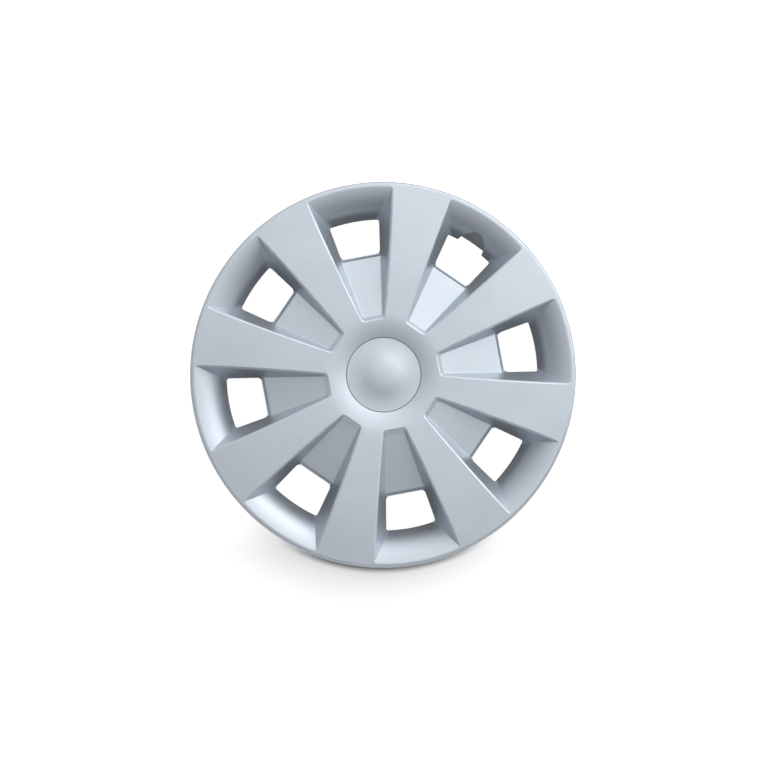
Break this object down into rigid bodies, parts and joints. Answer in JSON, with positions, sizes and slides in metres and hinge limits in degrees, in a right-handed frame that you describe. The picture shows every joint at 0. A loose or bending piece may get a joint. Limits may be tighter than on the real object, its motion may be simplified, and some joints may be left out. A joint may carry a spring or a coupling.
{
  "type": "hubcap",
  "caption": "Round clip-on wheel cover with wedge spokes, deep pockets that end in windows, a domed centre cap, and spring legs and a wire ring at the back that snap into a wheel rim.",
  "frame": {"origin": "on the wheel axis, in the plane of the skirt's back edge, which meets the wheel rim", "axes": "+Z along the wheel axis, out of the front face; +Y through the valve notch; X to the right of it seen from the front"},
  "size_m": [0.394, 0.394, 0.0501],
  "materials": {
    "silver_paint": "satin",
    "cap_paint": "satin",
    "spring_wire": "satin"
  },
  "bodies": {
    "root": {"wheel_cover": "silver_paint", "centre_cap": "cap_paint", "retention_ring": "spring_wire"}
  },
  "joints": []
}
